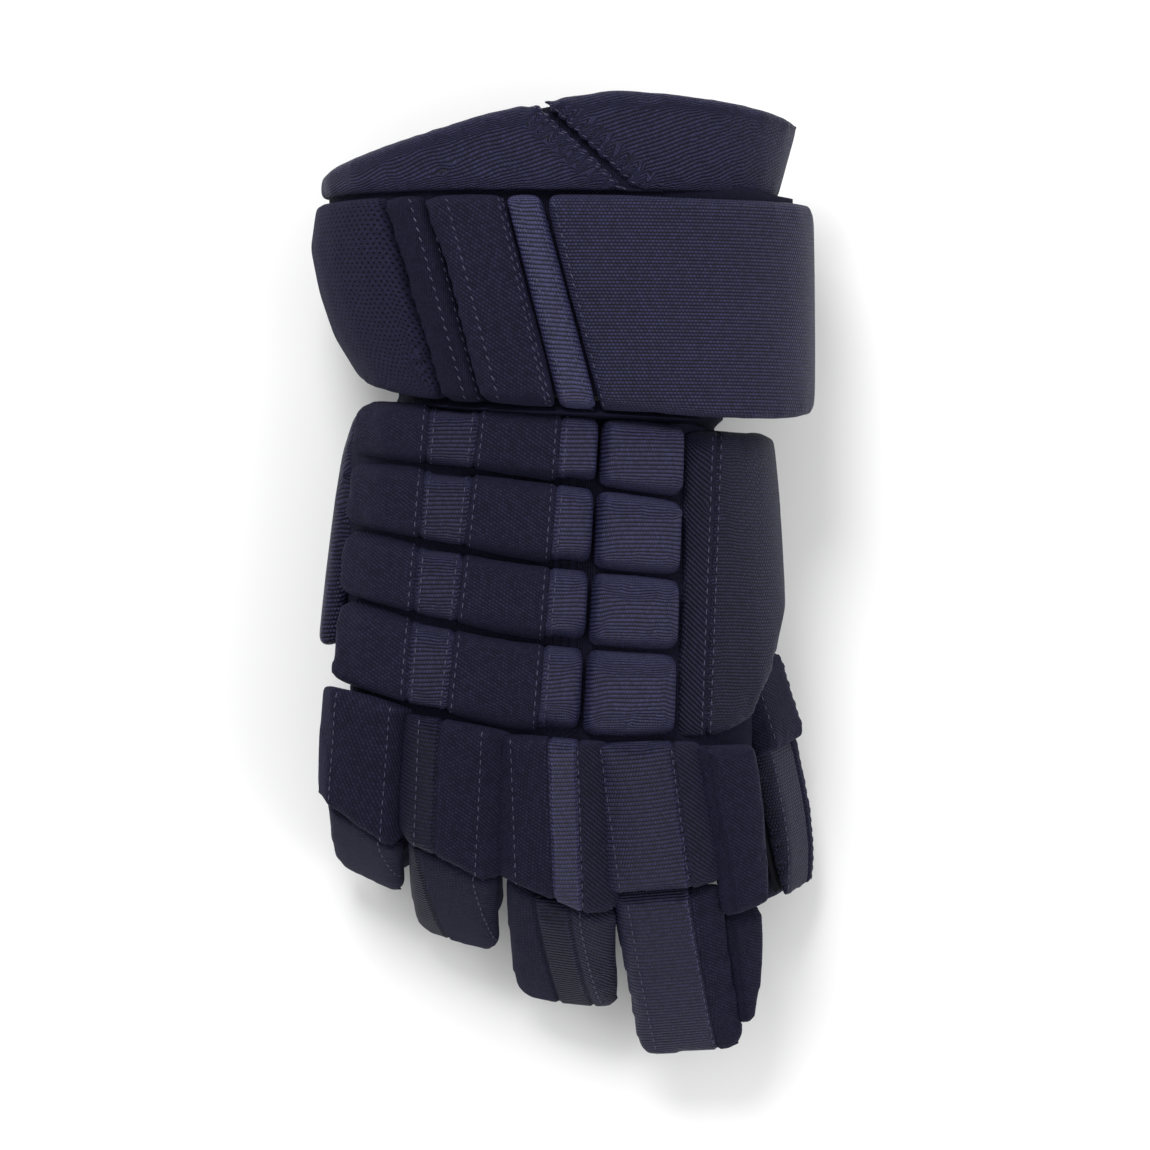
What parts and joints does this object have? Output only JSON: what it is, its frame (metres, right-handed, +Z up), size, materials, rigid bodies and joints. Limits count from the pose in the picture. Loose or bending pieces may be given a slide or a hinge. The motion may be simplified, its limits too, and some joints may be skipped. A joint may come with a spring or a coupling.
{
  "type": "ice hockey glove",
  "caption": "Right-hand padded sports glove with a flared cuff, segmented foam rolls across the back, jointed finger and thumb pads and a leather palm.",
  "frame": {"origin": "middle of the glove's outline seen from above, on the surface its cuff rests on", "axes": "+Z up, out of the back of the hand; +Y along the forearm, from the fingertips to the cuff; +X toward the thumb side"},
  "size_m": [0.1808, 0.3438, 0.1046],
  "materials": {
    "mesh_fabric": "perforated woven shell",
    "knit_fabric": "matte woven shell",
    "webbing_fabric": "ribbed glossy shell",
    "palm_leather": "suede-like synthetic leather",
    "lining": "brushed knit lining",
    "plate_plastic": "moulded polyethylene sheet"
  },
  "bodies": {
    "hand": {"roll_1": "mesh_fabric", "roll_1_side": "webbing_fabric", "roll_1_plate": "plate_plastic", "roll_2": "mesh_fabric", "roll_2_side": "webbing_fabric", "roll_2_plate": "plate_plastic", "roll_3": "mesh_fabric", "roll_3_side": "webbing_fabric", "roll_3_plate": "plate_plastic", "roll_4": "mesh_fabric", "roll_4_side": "webbing_fabric", "roll_4_plate": "plate_plastic", "back_base_layer": "knit_fabric", "hand_liner": "lining", "palm_panel": "palm_leather", "palm_patch": "palm_leather", "ulnar_panel": "knit_fabric", "radial_panel": "webbing_fabric"},
    "cuff": {"cuff_outer_pad": "mesh_fabric", "cuff_stretch_strip": "mesh_fabric", "cuff_centre_pad": "knit_fabric", "cuff_webbing_strip": "webbing_fabric", "cuff_thumb_pad": "webbing_fabric", "cuff_board": "plate_plastic", "cuff_liner": "lining", "cuff_palm_band": "palm_leather", "collar_outer_half": "knit_fabric", "collar_thumb_half": "webbing_fabric"},
    "pinky_base": {"pinky_base_stall": "palm_leather", "pinky_base_pad": "knit_fabric", "pinky_base_plate": "plate_plastic"},
    "pinky_tip": {"pinky_tip_stall": "palm_leather", "pinky_tip_pad": "knit_fabric"},
    "ring_base": {"ring_base_stall": "palm_leather", "ring_base_pad": "knit_fabric", "ring_base_plate": "plate_plastic"},
    "ring_tip": {"ring_tip_stall": "palm_leather", "ring_tip_pad": "knit_fabric"},
    "middle_base": {"middle_base_stall": "palm_leather", "middle_base_pad": "knit_fabric", "middle_base_plate": "plate_plastic"},
    "middle_tip": {"middle_tip_stall": "palm_leather", "middle_tip_pad": "knit_fabric"},
    "index_base": {"index_base_stall": "palm_leather", "index_base_pad": "webbing_fabric", "index_base_plate": "plate_plastic", "index_base_guard": "webbing_fabric"},
    "index_tip": {"index_tip_stall": "palm_leather", "index_tip_pad": "webbing_fabric", "index_tip_guard": "webbing_fabric"},
    "thumb_base": {"thumb_base_stall": "palm_leather", "thumb_base_pad": "knit_fabric"},
    "thumb_tip": {"thumb_tip_stall": "palm_leather", "thumb_tip_pad": "knit_fabric", "thumb_lock_plate": "plate_plastic"}
  },
  "joints": [
    {"name": "pinky_knuckle_bend", "type": "hinge", "parent": "hand", "child": "pinky_base", "pos_m": [-0.0606, -0.04217, 0.0445], "axis": [0.9611, -0.2761, 0], "range_deg": [0, 25], "stiffness_Nm_per_rad": 0.6},
    {"name": "ring_knuckle_bend", "type": "hinge", "parent": "hand", "child": "ring_base", "pos_m": [-0.0328, -0.04962, 0.05325], "axis": [0.9819, -0.1896, 0], "range_deg": [0, 16], "stiffness_Nm_per_rad": 0.6},
    {"name": "middle_knuckle_bend", "type": "hinge", "parent": "hand", "child": "middle_base", "pos_m": [-0.00159, -0.05429, 0.05529], "axis": [0.9956, -0.0939, 0], "range_deg": [0, 20], "stiffness_Nm_per_rad": 0.6},
    {"name": "index_knuckle_bend", "type": "hinge", "parent": "hand", "child": "index_base", "pos_m": [0.02956, -0.05575, 0.05415], "axis": [1, 0.0023, 0], "range_deg": [0, 12], "stiffness_Nm_per_rad": 0.6},
    {"name": "thumb_root_bend", "type": "hinge", "parent": "hand", "child": "thumb_base", "pos_m": [0.0374, -0.02432, 0.0198], "axis": [1, 0, 0], "range_deg": [0, 20], "stiffness_Nm_per_rad": 0.6},
    {"name": "wrist_tilt", "type": "hinge", "parent": "hand", "child": "cuff", "pos_m": [0, 0.06047, 0.0926], "axis": [0.9976, -0.0698, 0], "range_deg": [-8, 8], "stiffness_Nm_per_rad": 6},
    {"name": "pinky_middle_bend", "type": "hinge", "parent": "pinky_base", "child": "pinky_tip", "pos_m": [-0.06246, -0.06342, 0.03589], "axis": [0.8172, -0.5727, 0.0655], "range_deg": [0, 30], "stiffness_Nm_per_rad": 0.6},
    {"name": "ring_middle_bend", "type": "hinge", "parent": "ring_base", "child": "ring_tip", "pos_m": [-0.03425, -0.0774, 0.04201], "axis": [0.8873, -0.4607, 0.0237], "range_deg": [0, 20], "stiffness_Nm_per_rad": 0.6},
    {"name": "middle_middle_bend", "type": "hinge", "parent": "middle_base", "child": "middle_tip", "pos_m": [-0.00025, -0.09279, 0.04127], "axis": [0.9168, -0.3993, -0.0048], "range_deg": [0, 26], "stiffness_Nm_per_rad": 0.6},
    {"name": "index_middle_bend", "type": "hinge", "parent": "index_base", "child": "index_tip", "pos_m": [0.03511, -0.09531, 0.04117], "axis": [0.9906, 0.0623, 0.1215], "range_deg": [0, 11], "stiffness_Nm_per_rad": 0.6},
    {"name": "thumb_tip_bend", "type": "hinge", "parent": "thumb_base", "child": "thumb_tip", "pos_m": [0.04907, -0.06248, 0.01701], "axis": [0.4605, 0.204, -0.8639], "range_deg": [0, 8], "stiffness_Nm_per_rad": 0.6}
  ]
}
